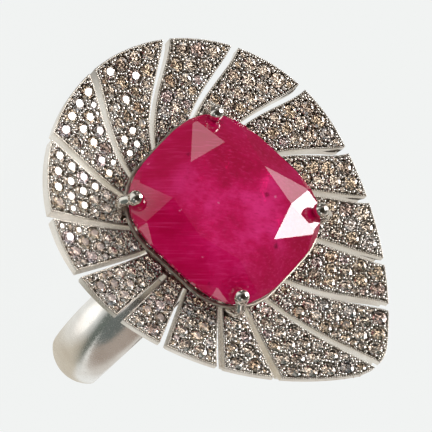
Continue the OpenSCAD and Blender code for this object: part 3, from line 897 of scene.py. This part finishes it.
def diamond_material():
    """Colourless to lightly tinted diamond: smooth glass of index 2.42, tinted by the stone's own colour."""
    material, tree, surface = new_material("Diamond")
    tint = add(tree, "Attribute", attribute_name="tint")
    feed(tree, surface, {
        "Base Color": tint.outputs["Color"], "IOR": 2.417, "Transmission Weight": 1.0, "Roughness": 0.0})
    return material


DIAMOND = diamond_material()
tip_spots = np.concatenate([panel_stones(i) for i in range(3, 11)])
round_spots = np.concatenate([panel_stones(i % PANELS) for i in range(11, 19)])
collar = collar_stones()
half_count = len(collar) // 2
round_spots = np.concatenate([round_spots, collar[:half_count]])
tip_spots = np.concatenate([tip_spots, collar[half_count:]])
tip_stones = set_stones("pave_tip_end_stones", tip_spots, 11)
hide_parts("pave_tip_end")
round_stones = set_stones("pave_round_end_stones", round_spots, 12)
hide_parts("pave_round_end")

# The grains and filler stones
# Between the diamonds the setter raises grains of polished white gold that hold them, and sets tiny stones in
# the wider gaps. Each goes where the most room is left, until only small gaps remain. A row of fine beads is
# rolled along every wall.
GRAIN_LEAST, GRAIN_MOST, GRAIN_SPREAD, GRAIN_OVERLAP = 0.058, 0.17, 1.6, 0.9
FILLER_LEAST, FILLER_MOST, FILLER_GAP = 0.26, 0.40, 0.045
FIELD_STEP, RIM_LEAN, WALL_ROOM, CLAW_HOLE_ROOM = 0.11, 0.93, 0.05, 0.75
GRAIN_TOP, BEAD_TOP, BEAD_R, BEAD_STEP = 0.13, 0.045, 0.066, 0.17
BEAD_INSET, BEAD_RIM_INSET, BEAD_START = 0.07, 0.075, 0.12
# A stud's rings from its foot up: height and radius, as shares of the stud's own.
STUD_RISE, STUD_RADIUS, STUD_SIDES = np.array([-1.0, 0.15, 0.7, 0.97]), np.array([0.92, 1.0, 0.72, 0.26]), 7


def panel_field(i):
    """A grid of spots over panel i, each with its distance from the panel's walls."""
    a, b = SLOTS[i], next_slot(i)
    t = np.linspace(0, 1, int(panel_length(a, b) / FIELD_STEP))[:, None]
    low, high, middle, width = panel_at(a, b, t)
    across = np.linspace(0, 1, 52)[None, :] * width
    angle = low + np.degrees(across / middle)
    plan = polar(angle, reach(angle, t))
    from_low = across * slot_skew(a, t[:, 0])[:, None] - slot_half(t)
    from_high = (width - across) * slot_skew(b, t[:, 0])[:, None] - slot_half(t)
    from_rim = (rim(angle) - np.linalg.norm(plan, axis=-1)) * RIM_LEAN
    room = np.minimum(np.minimum(from_low, from_high), from_rim) - WALL
    return np.column_stack([plan.reshape(-1, 2), room.ravel()])


spots = np.concatenate([panel_field(i) for i in range(PANELS)])
spots = spots[spots[:, 2] > WALL_ROOM]
spots = spots[np.linalg.norm(spots[:, None, :2] - CLAW_HOLES, axis=-1).min(1) > CLAW_HOLE_ROOM]
placed = np.concatenate([tip_spots, round_spots])
free = spots[:, 2].copy()
for stone in placed:
    free = np.minimum(free, np.hypot(*(spots[:, :2] - stone[:2]).T) - stone[2] / 2)
fillers, grains = [], []
while free.max() > GRAIN_LEAST:
    best = int(free.argmax())
    x, y = spots[best, :2]
    if free[best] > FILLER_LEAST:
        r = min(free[best] - FILLER_GAP, FILLER_MOST)
        fillers.append((x, y, 2 * r))
    else:
        r = min(free[best] * GRAIN_SPREAD, GRAIN_MOST)
        grains.append((x, y, r))
    free = np.minimum(free, np.hypot(spots[:, 0] - x, spots[:, 1] - y) - r * GRAIN_OVERLAP)
fillers, grains = np.array(fillers), np.array(grains)

set_stones("filler_stones", fillers, 13)


def edge_beads(i):
    """Beads in a row along the walls of panel i: evenly spaced along each slot's edge, then along the rim."""
    a, b = SLOTS[i], next_slot(i)
    length = panel_length(a, b)
    t = np.arange(BEAD_START, length, BEAD_STEP) / length
    inset = slot_half(t) + BEAD_INSET
    low = slot_angle(a, t) + np.degrees(inset / slot_skew(a, t) / reach(slot_angle(a, t), t))
    high = slot_angle(b, t) - np.degrees(inset / slot_skew(b, t) / reach(slot_angle(b, t), t))
    far = rim((a[0] + b[0]) / 2)
    around = np.arange(low[0], high[0], math.degrees(BEAD_STEP / far))
    plan = np.concatenate([
        polar(low, reach(low, t)), polar(high, reach(high, t)),
        polar(around, reach(around, BEAD_RIM_INSET / length))])
    return np.column_stack([plan, np.full(len(plan), BEAD_R)])


def grain_field(spots, top):
    """Round-topped studs of a few rings, where radius^2 + rise^2 is about 1, their foot sunk in the metal."""
    turn = (np.arange(STUD_SIDES) * 2 * np.pi / STUD_SIDES)[:, None]
    out, around, up, base = on_dish(spots)
    circle = np.cos(turn) * out[:, None] + np.sin(turn) * around[:, None]
    radius = spots[:, 2, None] * STUD_RADIUS
    height = np.where(STUD_RISE < 0, 4.0, 1.0) * STUD_RISE * top
    rings = (base[:, None, None] + radius[..., None, None] * circle[:, None]
             + height[:, None, None] * up[:, None, None])
    count = len(STUD_RISE) * STUD_SIDES
    body = net(len(STUD_RISE), STUD_SIDES, False, True)
    cap = np.arange(count - STUD_SIDES, count)[None, :]
    foot = np.arange(STUD_SIDES)[None, ::-1]
    shift = (np.arange(len(spots)) * count)[:, None, None]
    return rings.reshape(-1, 3), [(f[None] + shift).reshape(-1, f.shape[1]) for f in (body, cap, foot)]


beads = np.concatenate([edge_beads(i) for i in range(PANELS)])
for name, studs, top in (("grains", grains, GRAIN_TOP), ("edge_beads", beads, BEAD_TOP)):
    stud_points, stud_faces = grain_field(studs, top)
    stud_piece = make_piece(name, stud_points, stud_faces, [POLISHED], 60.0)
    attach(stud_piece, "root")

# The floor
# A pale sheet of white acrylic lit from below, so that the ring throws hardly any shadow.
# Only mirrors see its zones: a warm one behind the ring, dark ones on three sides, and three round spots.
FLOOR_HALF, FLOOR_STRENGTH = 0.9, 0.975
LIT, LIT_BEHIND = (0.879, 0.896, 0.888), (0.62, 0.57, 0.48)
UNLIT, UNLIT_FRONT = (0.10, 0.125, 0.11), (0.08, 0.07, 0.06)
# Each zone: its colour, and two axes, along each of which it comes in between two places, in m.
FLOOR_ZONES = (
    (LIT_BEHIND, ("Y", 0.004, 0.012), ("Y", 0.034, 0.022)),
    (UNLIT, ("X", 0.013, 0.040), ("Y", 0.055, 0.020)),
    (UNLIT_FRONT, ("X", 0.006, 0.0), ("Y", -0.012, -0.018)),
    (UNLIT_FRONT, ("X", -0.06, -0.09), ("Y", 0.05, 0.02)))
# Each spot: its brightness, its middle, and the distances at which it is gone and full, in m.
FLOOR_SPOTS = (
    ((1.5, 1.5, 1.5), (-0.020, -0.034, 0), 0.009, 0.007),
    ((0.45, 0.45, 0.45), (0.015, -0.076, 0), 0.02, 0.012),
    ((1.35, 1.35, 1.33), (0.0145, 0.001, 0), 0.0065, 0.003))


def floor_material():
    """White plastic that glows; for mirror rays the glow changes smoothly into each zone and spot."""
    material, tree, surface = new_material("Lit acrylic")
    where = add(tree, "TexCoord").outputs["Object"]
    axes = add(tree, "SeparateXYZ", {0: where})
    mirrored = add(tree, "LightPath").outputs["Is Glossy Ray"]
    last = LIT
    for colour, *edges in FLOOR_ZONES:
        first, second = (share(tree, axes.outputs[axis], gone, full) for axis, gone, full in edges)
        last = over(tree, both(tree, both(tree, first, second), mirrored), last, colour)
    for colour, middle, gone, full in FLOOR_SPOTS:
        near = share(tree, far_from(tree, where, middle), gone, full)
        last = over(tree, both(tree, near, mirrored), last, colour)
    feed(tree, surface, {
        "Base Color": (0.03, 0.03, 0.03, 1), "Roughness": 0.9, "Specular IOR Level": 0.0,
        "Emission Color": last, "Emission Strength": FLOOR_STRENGTH})
    return material


floor_mesh = bpy.data.meshes.new("floor")
floor_corners = [(x * FLOOR_HALF, y * FLOOR_HALF, 0) for x, y in ((-1, -1), (1, -1), (1, 1), (-1, 1))]
floor_mesh.from_pydata(floor_corners, [], [(0, 1, 2, 3)])
floor_mesh.materials.append(floor_material())
floor = new_object("floor", floor_mesh)

# The camera
# A long lens looks down on the ruby, leaning over to the side where the band shows.
# The picture is turned about its own middle, as the ring was photographed.
VIEW_TILT, VIEW_SIDE, PICTURE_TURN = math.radians(29.0), math.radians(2.0), math.radians(46.4)
CAMERA_FAR, PICTURE_WIDTH, FILM_WIDTH = 600.0, 35.1, 36.0
AIM_ACROSS, AIM_ALONG = 0.396, -0.15
across = np.array([0, math.cos(VIEW_TILT), math.sin(VIEW_TILT)])
back = np.array([math.sin(VIEW_SIDE), -math.cos(VIEW_SIDE) * across[2], math.cos(VIEW_SIDE) * across[1]])
along = np.cross(across, back)
right = math.sin(PICTURE_TURN) * across + math.cos(PICTURE_TURN) * along
up = math.cos(PICTURE_TURN) * across - math.sin(PICTURE_TURN) * along
look_at = AIM_ACROSS * across + AIM_ALONG * along
camera_data = bpy.data.cameras.new("camera")
camera_data.sensor_width = FILM_WIDTH
camera_data.lens = FILM_WIDTH * CAMERA_FAR / PICTURE_WIDTH
camera_data.clip_start, camera_data.clip_end = 0.01, 10.0
camera = new_object("camera", camera_data)
stand = Matrix.Identity(4)
for column, axis in enumerate((right, up, back)):
    for line, value in enumerate(WORN_TO_FLOOR @ axis):
        stand[line][column] = value
for line, value in enumerate(lay([look_at + back * CAMERA_FAR])[0]):
    stand[line][3] = value
camera.matrix_world = stand
bpy.context.scene.camera = camera

# The light
# A tent of pale cloth lights the ring evenly. Mirrors see it pale under the ring and dim over it, with cards,
# a dark hole where the camera looks in, and two soft boxes. Directions are as the ring is worn.
TENT_LOW, TENT_HIGH, TENT_START, TENT_END = (0.72, 0.70, 0.67), (0.11, 0.10, 0.09), -0.3, 0.25
# Each patch: its brightness, the direction of its middle, and the angles at which it is full and gone.
TENT_PATCHES = (
    ((0.06, 0.06, 0.06), (-0.07, 0.99, -0.09), 10, 20),
    ((0.03, 0.025, 0.02), (0.3, -0.2, 0.9), 28, 42),
    ((0.40, 0.34, 0.30), (0.75, -0.62, -0.15), 30, 48),
    ((0.13, 0.15, 0.145), (0.25, -0.96, 0.12), 16, 32),
    ((1.6, 1.35, 1.28), (0.05, 0.78, 0.62), 8, 18),
    ((0.9, 0.85, 0.80), (-0.5, 0.45, 0.74), 6, 14),
    ((11.0, 11.0, 11.0), (0.38, 0.68, 0.62), 12, 15),
    ((12.0, 12.0, 12.5), (0.36, 0.92, 0.12), 9, 13),
    ((2.2, 2.2, 2.2), (0.05, 0.97, 0.23), 5, 9),
    ((1.2, 1.2, 1.2), (-0.10, -0.83, 0.54), 4, 9),
    ((1.4, 1.4, 1.4), (0.52, -0.69, 0.5), 5, 10),
    ((1.0, 1.0, 1.0), (-0.46, 0.87, 0.15), 7, 12),
    ((0.6, 0.6, 0.6), (-0.62, -0.22, 0.75), 8, 14))
EVEN_LIGHT = (0.76, 0.75, 0.74)
world = bpy.data.worlds.new("tent")
bpy.context.scene.world = world
world.use_nodes = True
tent_tree = world.node_tree
direction = add(tent_tree, "TexCoord").outputs["Generated"]


def towards(aim):
    """How far the seen direction agrees with one given as worn: their dot product."""
    turned = WORN_TO_FLOOR @ (np.array(aim, float) / np.linalg.norm(aim))
    dot = add(tent_tree, "VectorMath", {0: direction, 1: tuple(turned)}, operation="DOT_PRODUCT")
    return dot.outputs["Value"]


tent = over(tent_tree, share(tent_tree, towards((0, 0, 1)), TENT_START, TENT_END), TENT_LOW, TENT_HIGH)
for colour, aim, full, gone in TENT_PATCHES:
    near = share(tent_tree, towards(aim), math.cos(math.radians(gone)), math.cos(math.radians(full)))
    tent = over(tent_tree, near, tent, colour)
# The stones gather, by refraction, the cluttered room round the tent, in brown shade and bright light.
room = tones(
    tent_tree, noise(tent_tree, direction, 6.5, 3.0, 0.7), (0.465, (0.006, 0.004, 0.003)),
    (0.50, (0.12, 0.075, 0.05)), (0.55, (0.56, 0.42, 0.31)), (0.63, (5.2, 4.4, 3.7)))
rays = add(tent_tree, "LightPath")
seen = over(tent_tree, rays.outputs["Is Glossy Ray"], EVEN_LIGHT, tent)
seen = over(tent_tree, rays.outputs["Is Transmission Ray"], seen, room)
feed(tent_tree, tent_tree.nodes["Background"], {"Color": seen, "Strength": 1.0})
bpy.context.scene.view_settings.view_transform = "Standard"
